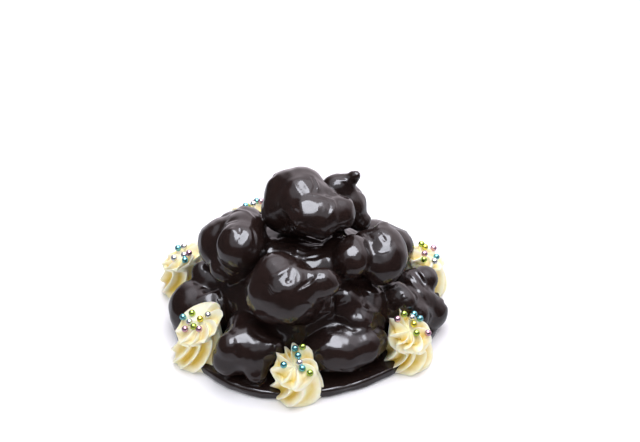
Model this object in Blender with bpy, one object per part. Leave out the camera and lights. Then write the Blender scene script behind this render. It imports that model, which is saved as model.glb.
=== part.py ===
"""A cake of glazed choux puffs piled in three tiers on a thin glazed disc.

Buttercream rosettes with sugar pearls stand round the disc's edge. The origin
is the middle of the disc's underside, +Z is up and the front faces -Y. Every
size below is in millimetres. MM turns it into metres when a mesh is made.
"""

import math
import random

import bmesh
import bpy
import numpy as np
from mathutils import Matrix, Vector

MM = 0.001
GAP = 1.4  # between neighbouring puffs, measured across their seam
CREAM_GAP = 0.5  # between cream and whatever it is piped against

# The disc
DISC_RADIUS = 82.0
DISC_THICKNESS = 5.5
DISC_EDGE = 1.6  # how far the edge rounds over
DISC_WAVES = ((3, 2.2, 90.0), (7, 0.3, 110.0))  # count round the rim, height, start in degrees
DISC_SIDES = 48
DISC_UNDERCUT = (0.8, 1.0)  # the rounding of its lower edge, inward and up
STEP_SIDES = 96

# The rosettes
ROSETTE_COUNT = 7
ROSETTE_RING = 75.0  # from the cake's axis to the middle of a rosette's foot
ROSETTE_FIRST = -90.3  # degrees, the one at the front
ROSETTE_SHIFTS = {  # degrees and millimetres outward that some stand off the even ring
    0: (-1.4, -0.5),
    1: (0.5, 2.5),
    2: (0.0, 1.0),
    3: (9.0, 0.0),
    5: (0.0, 2.0),
    6: (-1.5, 2.5),
}
ROSETTE_LEAN = 0.16  # outward drift of the axis for each millimetre of height
ROSETTE_TILT = 0.40  # slope of the top, down towards the outside, which grows up the rosette
ROSETTE_TOP = 24.0  # height that the slope and the leans are measured at
# Outer line of a fin from the floor up to the eye: radius, height, valley depth, turn in degrees.
# Two piped turns lie on each other, and each ends below in a lip without valleys.
ROSETTE_OUTLINE = (
    (12.0, 0.0, 0.6, -40.0),
    (14.2, 0.9, 2.0, -36.0),
    (15.4, 4.0, 4.5, -22.0),
    (14.9, 9.0, 5.4, -4.0),
    (13.4, 13.6, 4.8, 8.0),
    (12.2, 16.6, 2.8, 8.0),
    (12.8, 17.8, 1.0, -10.0),
    (13.6, 20.4, 4.6, -16.0),
    (12.8, 23.6, 6.0, -6.0),
    (9.8, 26.0, 6.0, 2.0),
    (5.0, 25.4, 4.2, 10.0),
    (0.0, 22.0, 0.0, 20.0),
)
LIP_ROW = 6  # of the upper turn, which swirls by its rosette's own share
LIP_HEIGHT = 17.8  # of the lip in these rows. Each rosette has it at its own height
CROWN_HEIGHT = 26.0  # of the outline's highest row
LIP_REACH = 2.4  # the lip hangs unevenly within this far of it
VALLEY_DEEPEST = 0.42  # share of the way from one crest to the next
VALLEY_POWER = 2.6  # how thin the crests are
CREST_POWER = 1.35  # how round they are
WIDE_FIN, WIDEST_FIN = 1.4, 2.7  # the valleys of fins over the first width get shallower
SHALLOWEST = 0.2  # share of the usual depth, at the second width
EYE_RADIUS = 3.0  # up to here the crests are even
FULL_RADIUS = 9.0  # and from here on as uneven as they get
FOOT_HEIGHT = 2.0  # the foot stays level, and the fins reach their own height here
FIN_SHARES = (0.0, 0.28, 0.64)  # where the points lie, from one crest to the next
UNEVEN_SEED = 40
UNEVEN_LENGTHS = (-0.8, 0.6)  # millimetres that single crests stand out or back
UNEVEN_LIPS = (-1.8, 1.0)  # millimetres that single lips hang lower or higher
UNEVEN_VALLEYS = (0.8, 1.05)  # share of the valleys' depth
UNEVEN_TURNS = (-5.0, 5.0)  # degrees that single crests stand aside
# Each rosette: first crest in degrees from outward, height as a share of the usual, height of its
# lip, lean of its top outward and along the rim, how much it swirls, and the widths of its fins
ROSETTES = (
    (-27, 1.00, 18.8, (-0.5, -2.1), 0.8, (1.0, 1.65, 0.65, 1.15, 0.95, 0.6, 0.6, 1.35, 1.05)),
    (40, 1.02, 17.8, (-3.0, 0.8), 1.3, (0.95, 1.0, 1.2, 0.95, 1.4, 0.65, 0.8, 0.85, 1.2)),
    (10, 1.10, 20.5, (-3.5, 2.5), 1.3, (1.0, 0.8, 1.3, 1.0, 1.2, 0.9, 1.1, 1.0)),
    (35, 1.00, 18.5, (0.0, -1.0), 1.2, (1.1, 1.2, 0.8, 1.3, 1.0, 0.9, 1.1, 1.0)),
    (0, 1.03, 19.5, (0.5, 1.5), 1.4, (1.3, 1.0, 0.8, 1.1, 1.2, 0.9, 1.0, 1.1)),
    (25, 1.06, 21.0, (-3.0, -2.5), 1.2, (0.9, 1.2, 0.8, 1.3, 1.0, 1.2, 0.9, 1.1)),
    (16, 1.08, 21.5, (-7.1, -0.4), 0.9, (0.8, 1.0, 0.62, 1.18, 0.65, 2.7, 1.2, 0.83)),
)

# The pearls, by rosette: millimetres outward and along the rim from its middle
PEARL_RADIUS = 2.0
PEARL_SUNK = 0.7
PEARL_SIDES = 5
PEARL_BANDS = 4
PEARLS = (
    ((-6, -1.5), (-7.5, 2.5), (-1.5, 0), (3, 1), (4.5, -8), (6.5, 2.5), (9.5, 7)),
    ((-9, -1), (-8.5, 5), (-4.5, 9.5), (-3, 6), (0, 10), (-0.5, 3.5), (4.5, -0.5), (8, 4.5)),
    ((0, 10), (2.5, 7.5), (7, 8), (-1, 2.5), (-3.5, -4), (6.5, 0.5), (3.5, -5)),
    ((-5, -3), (0, 4), (-7, 5), (3, -6), (6, 1), (1, -1), (-2, 9)),
    ((5, -6), (4, 2.5), (0.5, -1.5), (0, -7.5), (-5, 3), (-4, 8), (7, 7)),
    ((3, -8), (-0.5, -9.5), (-4, -7.5), (-6, -1.5), (2.5, 2.5), (-2.5, 2), (-6, 6)),
    ((0, -8), (-5, -7), (-6, -0.5), (-10.5, 1), (-0.5, -3.5), (0, 0.5), (4.5, -1), (-1, 5.5)),
)

# The glazed mass in the middle, a dome
CENTRE_AT = (0.0, -4.0, 14.0)
CENTRE_RADIUS = 54.0
CENTRE_SQUASH = 0.84

# The puffs: each is a few round lumps run together, given as x, y, z and radius
PUFFS = {
    # top of the pile
    "puff_top": (
        (0, -4, 84, 14.5), (-8, 8, 80, 14.5), (0, 6, 85, 12.75), (-11.5, 3, 72.5, 12.25),
        (-9.5, -1, 72, 11.25), (-3.5, 0, 77, 15.25), (20.5, -11, 80, 10), (10.5, -17, 81.5, 11.75),
        (3, -18, 83.5, 10.5), (-0.5, -13, 76.5, 8.5), (12.5, -2, 80.5, 9.5),
    ),
    "puff_top_back": (
        (25.5, 14, 67, 12.5), (19.5, 17, 71.5, 11.5), (20, 16, 78.5, 8.25), (34.5, 8, 59.5, 5.75),
        (25.5, 16, 83, 4), (29, 16, 86, 2.5), (30.5, 16, 87.5, 1.5), (31.5, 16, 88.5, 1),
    ),
    # middle tier
    "puff_upper_left": (
        (-35.5, -20, 62.5, 14.25), (-34.5, -7, 62.5, 12.5), (-33.5, 2, 60.5, 11.75), (-46, -2, 50, 16.5),
        (-24.5, -12, 59, 5.5), (-45, -20, 47, 9.25), (-36.5, -17, 46, 9.5),
    ),
    "puff_upper_front": (
        (-8.5, -50, 54, 18.75), (-15, -46, 50, 17.75), (-14.5, -42, 61.5, 11.5), (-6.5, -42, 58, 9.25),
        (-1.5, -44, 42.5, 13.25), (10.5, -52, 61.5, 9), (15.5, -50, 60, 5.25), (4, -50, 56.5, 7),
        (8.5, -42, 38.5, 7.75),
    ),
    "puff_upper_middle": (
        (-6.5, -20, 45.5, 16), (6.5, -24, 46.5, 16), (16, -22, 50, 10), (-19, -14, 52.5, 8.25),
        (20.5, -14, 55.5, 9),
    ),
    "puff_upper_right": (
        (28.5, -30, 60.5, 10.25), (29, -22, 63, 7.75), (23.5, -24, 54.5, 8.75), (47.5, -14, 58.5, 11.5),
        (48.5, -20, 55, 12.25), (45.5, -24, 52, 11.75), (47, -6, 65.5, 3.75), (38, -12, 57, 9.5),
    ),
    "puff_upper_back": ((-8, 27, 49, 18), (10, 36, 42, 17), (-16, 33, 46, 10), (3, 42, 47, 9)),
    "puff_inner_right": (
        (34.5, -34, 22, 14.25), (25, -38, 37, 9.5), (23, -43, 33.5, 7), (31.5, -45, 27, 10.5),
        (40.5, -42, 18, 6.5), (37, -30, 28, 12), (18.5, -34, 34, 7.75),
    ),
    # lower tier, clockwise from the front left
    "puff_front_left": (
        (-32, -58, 20, 14.5), (-40.5, -65, 25.5, 8), (-42.5, -64, 15.5, 9.25), (-26.5, -64, 21, 10.5),
        (-17.5, -64, 23, 7), (-26, -70, 11.5, 6.75), (-33, -46, 21.5, 11.25), (-19, -50, 21.5, 8.75),
        (-9.5, -50, 17.5, 10),
    ),
    "puff_left": (
        (-65, -18, 11.5, 15.5), (-67, -12, 14.5, 12.5), (-56.5, -22, 17.5, 10.25), (-50, -22, 22, 6.75),
        (-54, -28, 15.5, 10.25), (-45, -18, 19.5, 9.25),
    ),
    "puff_left_rear": ((-60.5, 0, 28, 7), (-55.5, -4, 22, 10), (-47, -6, 20.5, 13), (-52, 6, 18, 12)),
    "puff_back_left": ((-40, 38, 22, 20), (-34, 42, 25, 15), (-49, 41, 17, 13.5), (-45, 27, 24, 10)),
    "puff_back": ((3, 52, 22, 21), (12, 46, 28, 16), (-7, 59, 17, 13), (14, 61, 15, 9)),
    "puff_back_right": ((55.5, 18, 32.5, 12), (43, 28, 22, 20), (56, 33, 22, 12), (48, 20, 28, 12)),
    "puff_right": (
        (72.5, -6, 26.5, 8.5), (65, -8, 26, 8), (75.5, -18, 11.5, 11), (65, -20, 16.5, 13.25),
        (54, -25, 31.5, 7.5), (59.5, -29, 28.5, 7.5), (51.5, -27, 21.5, 9), (68.5, -18, 21, 9.75),
        (67, -31, 20, 7.75),
    ),
    "puff_front_right": (
        (24.5, -59, 18, 12.5), (15.5, -60, 18.5, 12.25), (34.5, -56, 17.5, 10.5), (41.5, -50, 17.5, 8),
        (8.5, -60, 17, 9.25), (28.5, -44, 18.5, 10), (16, -50, 17.5, 10),
    ),
}
CENTRE_NAME = "glazed_centre"
LUMP_BLEND = 1.6  # how softly the lumps of one puff run together
PUFF_FACES = 330
CENTRE_FACES = 560
SPHERE_LEVEL = 5  # of the icosphere that each puff is drawn out from
MARCH_STEPS = 60
MARCH_SHARE = 0.9  # of the free distance that one step takes

GLAZE = {"colour": (0.020, 0.010, 0.008), "roughness": 0.12}
CREAM = {"colour": (0.90, 0.82, 0.52), "roughness": 0.45}


def clear_scene():
    """Remove what the file opens with."""
    for thing in list(bpy.data.objects):
        bpy.data.objects.remove(thing, do_unlink=True)


def new_material(name, look):
    material = bpy.data.materials.new(name)
    material.use_nodes = True
    shader = material.node_tree.nodes["Principled BSDF"]
    shader.inputs["Base Color"].default_value = (*look["colour"], 1.0)
    shader.inputs["Roughness"].default_value = look["roughness"]
    shader.inputs["Metallic"].default_value = 0.0
    return material


def new_object(name, mesh, look, parent, place=(0.0, 0.0, 0.0)):
    """An object under the cake's empty, at a place in millimetres."""
    mesh.materials.clear()
    mesh.materials.append(new_material(name + "_finish", look))
    thing = bpy.data.objects.new(name, mesh)
    thing.location = Vector(place) * MM
    thing.parent = parent
    bpy.context.scene.collection.objects.link(thing)
    return thing


def mesh_from(name, points, faces):
    """A mesh in metres from points in millimetres."""
    mesh = bpy.data.meshes.new(name)
    mesh.from_pydata((np.asarray(points) * MM).tolist(), [], faces)
    mesh.update()
    return mesh


def apply_modifiers(thing):
    """Put the evaluated mesh in place of the modifiers."""
    bpy.context.view_layer.update()
    graph = bpy.context.evaluated_depsgraph_get()
    finished = bpy.data.meshes.new_from_object(thing.evaluated_get(graph))
    thing.modifiers.clear()
    thing.data = finished


# Distance fields: negative inside, in millimetres


def soft_minimum(distances, blend):
    """The smallest along the last axis, rounded off where two are nearly equal."""
    least = distances.min(axis=-1, keepdims=True)
    total = np.exp((least - distances) / blend).sum(axis=-1)
    return least[..., 0] - blend * np.log(total)


def lumps_field(points, lumps):
    lumps = np.asarray(lumps, float)
    reach = np.linalg.norm(points[:, None, :] - lumps[None, :, :3], axis=2)
    return soft_minimum(reach - lumps[:, 3], LUMP_BLEND)


def centre_field(points):
    """The flattened dome."""
    raised = points - np.array(CENTRE_AT)
    raised[:, 2] /= CENTRE_SQUASH
    return (np.linalg.norm(raised, axis=1) - CENTRE_RADIUS) * CENTRE_SQUASH


def body_field(name, points):
    if name == CENTRE_NAME:
        return centre_field(points)
    return lumps_field(points, PUFFS[name])


def rosette_frame(index):
    """A rosette's foot, and its directions outward and along the rim."""
    turned, further = ROSETTE_SHIFTS.get(index, (0.0, 0.0))
    angle = math.radians(ROSETTE_FIRST + index * 360.0 / ROSETTE_COUNT + turned)
    outward = np.array((math.cos(angle), math.sin(angle), 0.0))
    along = np.array((-math.sin(angle), math.cos(angle), 0.0))
    return (ROSETTE_RING + further) * outward, outward, along


def rosette_envelope(points):
    """Distance to the round column that each rosette with its pearls stays in."""
    radius = max(row[0] for row in ROSETTE_OUTLINE) + max(UNEVEN_LENGTHS)
    top = max(row[1] for row in ROSETTE_OUTLINE) + 2.0 * PEARL_RADIUS
    nearest = np.full(len(points), np.inf)
    for index in range(ROSETTE_COUNT):
        _, tall, _, lean, _, _ = ROSETTES[index]
        foot, outward, along = rosette_frame(index)
        rise = points[:, 2:3] / ROSETTE_TOP
        axis = foot + rise * ((ROSETTE_LEAN * ROSETTE_TOP + lean[0]) * outward + lean[1] * along)
        aside = np.linalg.norm((points - axis)[:, :2], axis=1) - radius
        slope = ROSETTE_TILT * ((points - axis) @ outward)
        nearest = np.minimum(nearest, np.maximum(aside, points[:, 2] + slope - tall * top))
    return nearest


def room(name, points):
    """Negative where the named body may be: in its own shape and clear of all it meets."""
    own = body_field(name, points)
    others = [body_field(other, points) for other in (*PUFFS, CENTRE_NAME) if other != name]
    seam = (own - np.min(others, axis=0) + GAP) / 2.0
    above_disc = DISC_THICKNESS + GAP - points[:, 2]
    beside_cream = CREAM_GAP - rosette_envelope(points)
    return np.max([own, seam, above_disc, beside_cream], axis=0)


# The glazed bodies


def icosphere():
    sphere = bmesh.new()
    bmesh.ops.create_icosphere(sphere, subdivisions=SPHERE_LEVEL, radius=1.0)
    directions = np.array([vertex.co[:] for vertex in sphere.verts])
    faces = [[vertex.index for vertex in face.verts] for face in sphere.faces]
    sphere.free()
    return directions, faces


def add_body(name, middle, face_count, cake):
    """A closed body drawn out from its middle until it meets its own skin or a neighbour's."""
    directions, faces = icosphere()
    reach = np.zeros(len(directions))
    for _ in range(MARCH_STEPS):
        reach -= MARCH_SHARE * room(name, middle + reach[:, None] * directions)
    mesh = mesh_from(name, reach[:, None] * directions, faces)
    mesh.shade_smooth()
    body = new_object(name, mesh, GLAZE, cake, middle)
    fewer = body.modifiers.new("fewer", "DECIMATE")
    fewer.ratio = face_count / len(faces)
    return body


def add_puffs(cake):
    for name, lumps in PUFFS.items():
        lumps = np.asarray(lumps, float)
        middle = np.average(lumps[:, :3], axis=0, weights=lumps[:, 3] ** 3)
        add_body(name, middle, PUFF_FACES, cake)


def add_centre(cake):
    add_body(CENTRE_NAME, np.array(CENTRE_AT), CENTRE_FACES, cake)


# The disc


def rim_radius(angle):
    waves = sum(
        height * math.sin(count * angle + math.radians(start))
        for count, height, start in DISC_WAVES
    )
    return DISC_RADIUS + waves


def add_disc(cake):
    """A turned disc with a wavy, rounded edge."""
    inward, up = DISC_UNDERCUT
    profile = (
        (-inward, 0.0),
        (0.0, up),
        (0.0, DISC_THICKNESS - DISC_EDGE),
        (-0.4 * DISC_EDGE, DISC_THICKNESS - 0.3 * DISC_EDGE),
        (-DISC_EDGE, DISC_THICKNESS),
    )
    points = []
    for inset, height in profile:
        for side in range(DISC_SIDES):
            angle = 2.0 * math.pi * side / DISC_SIDES
            radius = rim_radius(angle) + inset
            points.append((radius * math.cos(angle), radius * math.sin(angle), height))
    faces = [list(reversed(range(DISC_SIDES)))]
    faces += ring_faces(len(profile), DISC_SIDES)
    last = (len(profile) - 1) * DISC_SIDES
    faces.append(list(range(last, last + DISC_SIDES)))
    mesh = mesh_from("base_disc", points, faces)
    return new_object("base_disc", mesh, GLAZE, cake)


def ring_faces(rings, sides):
    """Quads between rings of points that go up, facing out."""
    faces = []
    for ring in range(rings - 1):
        for side in range(sides):
            here = ring * sides + side
            right = ring * sides + (side + 1) % sides
            faces.append([here, right, right + sides, here + sides])
    return faces


# The rosettes


def valley_shape(share):
    """Depth between two crests, which are narrow ridges beside a round hollow."""
    before = share / VALLEY_DEEPEST
    after = (1.0 - share) / (1.0 - VALLEY_DEEPEST)
    return 1.0 - (1.0 - np.minimum(before, after) ** CREST_POWER) ** VALLEY_POWER


def uneven_fins(index, count):
    """How far each fin is out, hangs at the lip, is cut by its valley and stands aside."""
    draw = random.Random(UNEVEN_SEED + index)
    return [
        np.array([draw.uniform(low, high) for _ in range(count)])
        for low, high in (UNEVEN_LENGTHS, UNEVEN_LIPS, UNEVEN_VALLEYS, UNEVEN_TURNS)
    ]


def lifted(rows, lip):
    """The outline with its lip at this height, and the turn above it as much thinner."""
    height = rows[:, 1].copy()
    above = height > LIP_HEIGHT
    share = (CROWN_HEIGHT - lip) / (CROWN_HEIGHT - LIP_HEIGHT)
    rows[:, 1] = np.where(above, lip + share * (height - LIP_HEIGHT), height * lip / LIP_HEIGHT)
    rows[above, 2] *= share
    return rows


def rosette_points(index):
    """Rings of points from the foot to the eye, in the rosette's own frame."""
    first, tall, lip, lean, swirl, widths = ROSETTES[index]
    fins = len(widths)
    ends = np.cumsum((0.0, *widths)) / sum(widths)
    longer, droop, deeper, swing = uneven_fins(index, fins)
    share = np.tile(FIN_SHARES, fins)
    fin = np.repeat(np.arange(fins), len(FIN_SHARES))
    turn = ends[fin] + np.diff(ends)[fin] * share
    valley = valley_shape(share)
    narrower = (WIDEST_FIN - np.array(widths)) / (WIDEST_FIN - WIDE_FIN)
    deeper *= np.clip(narrower, SHALLOWEST, 1.0)

    def between(values):
        """A value for each crest, blended over the valley to the next crest."""
        mix = share * share * (3.0 - 2.0 * share)
        return values[fin] * (1.0 - mix) + values[(fin + 1) % fins] * mix

    rows = np.array(ROSETTE_OUTLINE)
    rows[LIP_ROW:, 3] *= swirl
    rows = lifted(rows, lip)
    radius, height, depth, twist = (rows[:, k:k + 1] for k in range(4))
    slope = np.gradient(rows[:, :2], axis=0)
    slope /= np.linalg.norm(slope, axis=1, keepdims=True)
    full = np.clip((radius - EYE_RADIUS) / (FULL_RADIUS - EYE_RADIUS), 0.0, 1.0)
    low = np.clip(height / FOOT_HEIGHT, 0.0, 1.0)
    moved = full * between(longer) - depth * valley * deeper[fin]
    hang = np.exp(-(((height - lip) / LIP_REACH) ** 2)) * between(droop)
    radius = np.maximum(radius + moved * slope[:, 1:2], 0.0)
    height = tall * np.maximum(height + low * (hang - moved * slope[:, 0:1]), 0.0)
    angle = 2.0 * math.pi * turn + np.radians(first + twist + between(swing) * full)
    outward = radius * np.cos(angle)
    along = radius * np.sin(angle)
    height = height - ROSETTE_TILT * outward * (height / ROSETTE_TOP) ** 2
    rise = height / ROSETTE_TOP
    outward = outward + (ROSETTE_LEAN * ROSETTE_TOP + lean[0]) * rise
    return np.stack([outward, along + lean[1] * rise, height], axis=-1)


def rosette_mesh(index):
    """Rings of points up the outline, closed by a flat foot and by the eye."""
    rings = rosette_points(index)
    sides = rings.shape[1]
    points = np.concatenate([rings[:-1].reshape(-1, 3), rings[-1].mean(axis=0, keepdims=True)])
    faces = [list(reversed(range(sides)))]
    faces += ring_faces(len(rings) - 1, sides)
    last = (len(rings) - 2) * sides
    faces += [[last + side, last + (side + 1) % sides, len(points) - 1] for side in range(sides)]
    return mesh_from(f"rosette_{index}", points, faces)


def pearl_height(mesh, outward, along):
    """How high the rosette's surface is under a pearl."""
    surface = bmesh.new()
    surface.from_mesh(mesh)
    bmesh.ops.triangulate(surface, faces=surface.faces)
    highest = 0.0
    for face in surface.faces:
        corners = [vertex.co / MM for vertex in face.verts]
        flat = [Vector(corner[:2]) for corner in corners]
        area = (flat[1] - flat[0]).cross(flat[2] - flat[0])
        if abs(area) < 1e-6:
            continue
        spot = Vector((outward, along))
        shares = []
        for k in range(3):
            edge = flat[(k + 2) % 3] - flat[(k + 1) % 3]
            shares.append(edge.cross(spot - flat[(k + 1) % 3]) / area)
        if min(shares) >= 0.0:
            highest = max(highest, sum(s * c[2] for s, c in zip(shares, corners)))
    surface.free()
    return highest


def pearl_mesh(place):
    ball = bmesh.new()
    where = Matrix.Translation(Vector(place) * MM)
    bmesh.ops.create_uvsphere(
        ball, u_segments=PEARL_SIDES, v_segments=PEARL_BANDS, radius=PEARL_RADIUS * MM, matrix=where,
    )
    mesh = bpy.data.meshes.new("pearl")
    ball.to_mesh(mesh)
    ball.free()
    return mesh


def fuse_pearls(rosette, index):
    """One union of the rosette with all its pearls."""
    pearls = bpy.data.collections.new(f"pearls_{index}")
    bpy.context.scene.collection.children.link(pearls)
    for outward, along in PEARLS[index]:
        height = pearl_height(rosette.data, outward, along) + PEARL_RADIUS - PEARL_SUNK
        pearl = bpy.data.objects.new("pearl", pearl_mesh((outward, along, height)))
        pearl.matrix_world = rosette.matrix_world
        pearls.objects.link(pearl)
    union = rosette.modifiers.new("pearls", "BOOLEAN")
    union.operation = "UNION"
    union.operand_type = "COLLECTION"
    union.collection = pearls
    union.solver = "EXACT"
    apply_modifiers(rosette)
    for pearl in list(pearls.objects):
        bpy.data.objects.remove(pearl, do_unlink=True)
    bpy.data.collections.remove(pearls)


def add_step():
    """The disc and a little more, to cut out of what is piped over its edge."""
    top = DISC_THICKNESS + CREAM_GAP
    points = []
    for height in (-top, top):
        for side in range(STEP_SIDES):
            angle = 2.0 * math.pi * side / STEP_SIDES
            radius = rim_radius(angle) + CREAM_GAP
            points.append((radius * math.cos(angle), radius * math.sin(angle), height))
    faces = [list(reversed(range(STEP_SIDES)))]
    faces += ring_faces(2, STEP_SIDES)
    faces.append(list(range(STEP_SIDES, 2 * STEP_SIDES)))
    step = bpy.data.objects.new("step", mesh_from("step", points, faces))
    bpy.context.scene.collection.objects.link(step)
    return step


def cut_to_disc(rosette):
    """Take out the step that the rosette is piped over."""
    step = add_step()
    cut = rosette.modifiers.new("step", "BOOLEAN")
    cut.operation = "DIFFERENCE"
    cut.object = step
    cut.solver = "EXACT"
    apply_modifiers(rosette)
    bpy.data.objects.remove(step, do_unlink=True)


def add_rosette(index, cake):
    foot, _, _ = rosette_frame(index)
    rosette = new_object(f"rosette_{index}", rosette_mesh(index), CREAM, cake, foot)
    rosette.rotation_euler = (0.0, 0.0, math.atan2(foot[1], foot[0]))
    bpy.context.view_layer.update()
    fuse_pearls(rosette, index)
    cut_to_disc(rosette)
    return rosette


def main():
    clear_scene()
    cake = bpy.data.objects.new("cake", None)
    bpy.context.scene.collection.objects.link(cake)
    add_disc(cake)
    add_centre(cake)
    add_puffs(cake)
    for index in range(ROSETTE_COUNT):
        add_rosette(index, cake)


main()
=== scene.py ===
"""Looks of the profiterole cake: glazed puffs and disc, piped buttercream and sugar pearls.

Sizes are in millimetres, as in the solids, and MM turns them into metres when a mesh is made.
"""

import math
import random

import bmesh
import bpy
import numpy as np
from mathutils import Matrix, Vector
from mathutils.bvhtree import BVHTree


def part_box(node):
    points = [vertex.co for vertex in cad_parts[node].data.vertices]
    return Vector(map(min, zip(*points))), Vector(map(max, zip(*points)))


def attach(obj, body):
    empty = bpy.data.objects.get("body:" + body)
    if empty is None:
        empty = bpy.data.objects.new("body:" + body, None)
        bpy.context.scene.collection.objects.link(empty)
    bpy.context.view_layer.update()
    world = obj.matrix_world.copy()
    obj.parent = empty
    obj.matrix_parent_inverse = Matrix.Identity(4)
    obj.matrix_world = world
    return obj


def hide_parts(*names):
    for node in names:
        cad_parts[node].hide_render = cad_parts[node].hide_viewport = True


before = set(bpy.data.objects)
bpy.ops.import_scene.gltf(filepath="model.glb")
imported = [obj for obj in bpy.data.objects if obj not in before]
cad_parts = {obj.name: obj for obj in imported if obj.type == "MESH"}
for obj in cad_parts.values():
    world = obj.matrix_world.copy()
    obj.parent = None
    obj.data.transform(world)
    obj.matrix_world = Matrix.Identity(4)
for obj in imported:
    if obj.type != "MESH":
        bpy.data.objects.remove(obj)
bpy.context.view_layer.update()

MM = 0.001

# The camera, and the photo's frame
LENS = 75.0
SENSOR = 36.0
CAMERA_AT = (10.0, -630.6, 530.5)
CAMERA_DOWN = 36.365  # degrees below the horizon
PHOTO_WIDTH = 640
PHOTO_HEIGHT = 442

# The disc
DISC_RADIUS = 82.0
DISC_THICKNESS = 5.5
DISC_EDGE = 1.6
DISC_WAVES = ((3, 2.2, 90.0), (7, 0.3, 110.0))

# The glazed mass in the middle, a dome
CENTRE_AT = (0.0, -4.0, 14.0)
CENTRE_RADIUS = 54.0
CENTRE_SQUASH = 0.84

# The puffs: each is a few round lumps run together, given as x, y, z and radius
PUFFS = {
    # top of the pile
    "puff_top": (
        (0, -4, 84, 14.5), (-8, 8, 80, 14.5), (0, 6, 85, 12.75), (-11.5, 3, 72.5, 12.25),
        (-9.5, -1, 72, 11.25), (-3.5, 0, 77, 15.25), (20.5, -11, 80, 10), (10.5, -17, 81.5, 11.75),
        (3, -18, 83.5, 10.5), (-0.5, -13, 76.5, 8.5), (12.5, -2, 80.5, 9.5),
    ),
    "puff_top_back": (
        (25.5, 14, 67, 12.5), (19.5, 17, 71.5, 11.5), (20, 16, 78.5, 8.25), (34.5, 8, 59.5, 5.75),
        (25.5, 16, 83, 4), (29, 16, 86, 2.5), (30.5, 16, 87.5, 1.5), (31.5, 16, 88.5, 1),
    ),
    # middle tier
    "puff_upper_left": (
        (-35.5, -20, 62.5, 14.25), (-34.5, -7, 62.5, 12.5), (-33.5, 2, 60.5, 11.75), (-46, -2, 50, 16.5),
        (-24.5, -12, 59, 5.5), (-45, -20, 47, 9.25), (-36.5, -17, 46, 9.5),
    ),
    "puff_upper_front": (
        (-8.5, -50, 54, 18.75), (-15, -46, 50, 17.75), (-14.5, -42, 61.5, 11.5), (-6.5, -42, 58, 9.25),
        (-1.5, -44, 42.5, 13.25), (10.5, -52, 61.5, 9), (15.5, -50, 60, 5.25), (4, -50, 56.5, 7),
        (8.5, -42, 38.5, 7.75),
    ),
    "puff_upper_middle": (
        (-6.5, -20, 45.5, 16), (6.5, -24, 46.5, 16), (16, -22, 50, 10), (-19, -14, 52.5, 8.25),
        (20.5, -14, 55.5, 9),
    ),
    "puff_upper_right": (
        (28.5, -30, 60.5, 10.25), (29, -22, 63, 7.75), (23.5, -24, 54.5, 8.75), (47.5, -14, 58.5, 11.5),
        (48.5, -20, 55, 12.25), (45.5, -24, 52, 11.75), (47, -6, 65.5, 3.75), (38, -12, 57, 9.5),
    ),
    "puff_upper_back": ((-8, 27, 49, 18), (10, 36, 42, 17), (-16, 33, 46, 10), (3, 42, 47, 9)),
    "puff_inner_right": (
        (34.5, -34, 22, 14.25), (25, -38, 37, 9.5), (23, -43, 33.5, 7), (31.5, -45, 27, 10.5),
        (40.5, -42, 18, 6.5), (37, -30, 28, 12), (18.5, -34, 34, 7.75),
    ),
    # lower tier, clockwise from the front left
    "puff_front_left": (
        (-32, -58, 20, 14.5), (-40.5, -65, 25.5, 8), (-42.5, -64, 15.5, 9.25), (-26.5, -64, 21, 10.5),
        (-17.5, -64, 23, 7), (-26, -70, 11.5, 6.75), (-33, -46, 21.5, 11.25), (-19, -50, 21.5, 8.75),
        (-9.5, -50, 17.5, 10),
    ),
    "puff_left": (
        (-65, -18, 11.5, 15.5), (-67, -12, 14.5, 12.5), (-56.5, -22, 17.5, 10.25), (-50, -22, 22, 6.75),
        (-54, -28, 15.5, 10.25), (-45, -18, 19.5, 9.25),
    ),
    "puff_left_rear": ((-60.5, 0, 28, 7), (-55.5, -4, 22, 10), (-47, -6, 20.5, 13), (-52, 6, 18, 12)),
    "puff_back_left": ((-40, 38, 22, 20), (-34, 42, 25, 15), (-49, 41, 17, 13.5), (-45, 27, 24, 10)),
    "puff_back": ((3, 52, 22, 21), (12, 46, 28, 16), (-7, 59, 17, 13), (14, 61, 15, 9)),
    "puff_back_right": ((55.5, 18, 32.5, 12), (43, 28, 22, 20), (56, 33, 22, 12), (48, 20, 28, 12)),
    "puff_right": (
        (72.5, -6, 26.5, 8.5), (65, -8, 26, 8), (75.5, -18, 11.5, 11), (65, -20, 16.5, 13.25),
        (54, -25, 31.5, 7.5), (59.5, -29, 28.5, 7.5), (51.5, -27, 21.5, 9), (68.5, -18, 21, 9.75),
        (67, -31, 20, 7.75),
    ),
    "puff_front_right": (
        (24.5, -59, 18, 12.5), (15.5, -60, 18.5, 12.25), (34.5, -56, 17.5, 10.5), (41.5, -50, 17.5, 8),
        (8.5, -60, 17, 9.25), (28.5, -44, 18.5, 10), (16, -50, 17.5, 10),
    ),
}
PUFF_FLOOR = DISC_THICKNESS - 1.2  # where everything that stands on the disc ends, inside the disc
LUMP_BLEND = 1.6  # how softly the lumps of one puff run together
SEAM_BLEND = 1.0  # how far the glaze fills the seams between puffs
DIVE = 1.5  # how steeply a piece runs in under its neighbour past their seam

# The net that the glazed pieces are drawn with
NET_STEP = 0.75
NET_MARGIN = 3.0
NET_BLOCK = 4  # cells along a block that is passed over when no surface can cross it
NET_CHUNK = 60000  # grid points worked out at once
PROJECTIONS = 3
RELAXINGS = 3
SLOPE_STEP = 0.12
LEAST_SLOPE = 0.2  # squared, where the field is nearly level

# Slow waves in the poured glaze: height in millimetres, and length of one wave
RIPPLES = ((0.20, 17.0), (0.12, 9.5), (0.05, 5.5))
RIPPLE_WAVES = 5  # directions for each length
RIPPLE_SEED = 7

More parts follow.
